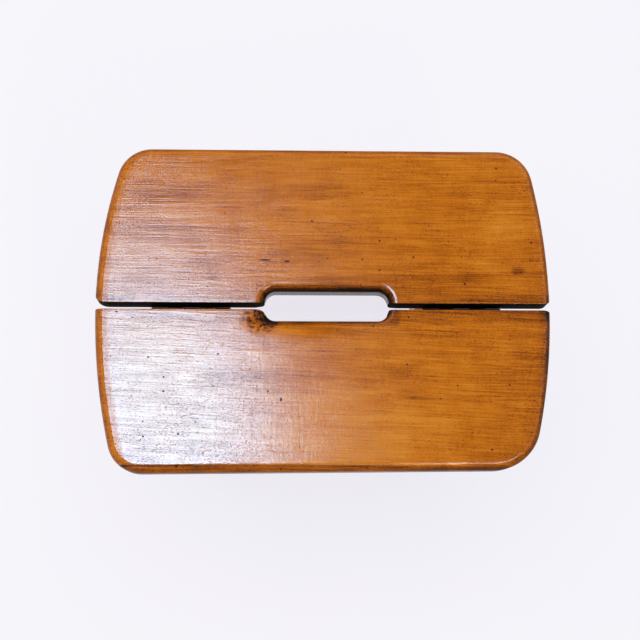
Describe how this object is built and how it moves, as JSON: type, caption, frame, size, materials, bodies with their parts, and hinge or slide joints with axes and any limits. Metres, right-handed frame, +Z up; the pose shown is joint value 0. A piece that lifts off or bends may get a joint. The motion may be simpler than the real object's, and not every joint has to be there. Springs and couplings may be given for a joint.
{
  "type": "folding stool",
  "caption": "Folding wooden stool: bowed seat boards hinged along a central slit with a hand-hold, over crossed outer and inner leg frames.",
  "frame": {"origin": "on the floor, under the middle of the seat", "axes": "+Z up, +X along the seat boards and the slit, -Y the front"},
  "size_m": [0.4, 0.287, 0.43],
  "materials": {
    "seat_wood": "honey-brown stained hardwood under a glossy varnish",
    "frame_wood": "honey-brown stained hardwood, satin varnish",
    "hinge_steel": "rolled steel hinge plate, dull plated",
    "zinc_steel": "zinc-plated steel fastener",
    "brass_insert": "turned brass"
  },
  "bodies": {
    "outer_frame": {"cross_nuts": "zinc_steel", "cross_washers": "zinc_steel", "front_left_pivot_bolt": "zinc_steel", "front_pivot_inserts": "brass_insert", "front_pivot_washers": "zinc_steel", "front_right_pivot_bolt": "zinc_steel", "left_cross_bolt": "zinc_steel", "outer_foot_rail": "frame_wood", "outer_left_leg": "frame_wood", "outer_rail_screws": "zinc_steel", "outer_right_leg": "frame_wood", "outer_top_rail": "frame_wood", "right_cross_bolt": "zinc_steel"},
    "inner_frame": {"back_pivot_inserts": "brass_insert", "back_pivot_studs": "zinc_steel", "back_pivot_washers": "zinc_steel", "inner_foot_rung": "frame_wood", "inner_left_leg": "frame_wood", "inner_right_leg": "frame_wood", "inner_top_rung": "frame_wood"},
    "front_leaf": {"front_block_screws": "zinc_steel", "front_hinge_screws": "zinc_steel", "front_left_pivot_block": "frame_wood", "front_right_pivot_block": "frame_wood", "front_seat_board": "seat_wood", "left_hinge_front_plate": "hinge_steel", "left_hinge_pin": "hinge_steel", "right_hinge_front_plate": "hinge_steel", "right_hinge_pin": "hinge_steel"},
    "back_leaf": {"back_block_screws": "zinc_steel", "back_hinge_screws": "zinc_steel", "back_left_pivot_block": "frame_wood", "back_left_pivot_bolt": "zinc_steel", "back_right_pivot_block": "frame_wood", "back_right_pivot_bolt": "zinc_steel", "back_seat_board": "seat_wood", "left_hinge_back_plate": "hinge_steel", "right_hinge_back_plate": "hinge_steel"}
  },
  "joints": [
    {"name": "cross_pivot", "type": "hinge", "parent": "outer_frame", "child": "inner_frame", "pos_m": [0, 0, 0.19353], "axis": [1, 0, 0], "range_deg": [0, 56]},
    {"name": "front_pivot", "type": "hinge", "parent": "outer_frame", "child": "front_leaf", "pos_m": [0, -0.105, 0.3866], "axis": [1, 0, 0], "range_deg": [0, 108.76]},
    {"name": "seat_hinge", "type": "hinge", "parent": "front_leaf", "child": "back_leaf", "pos_m": [0, 0, 0.4016], "axis": [-1, 0, 0], "range_deg": [0, 161.51]}
  ],
  "couplings": [
    {"joint": "front_pivot", "follows": "cross_pivot", "ratio": 1.942},
    {"joint": "seat_hinge", "follows": "cross_pivot", "ratio": 2.8841}
  ]
}
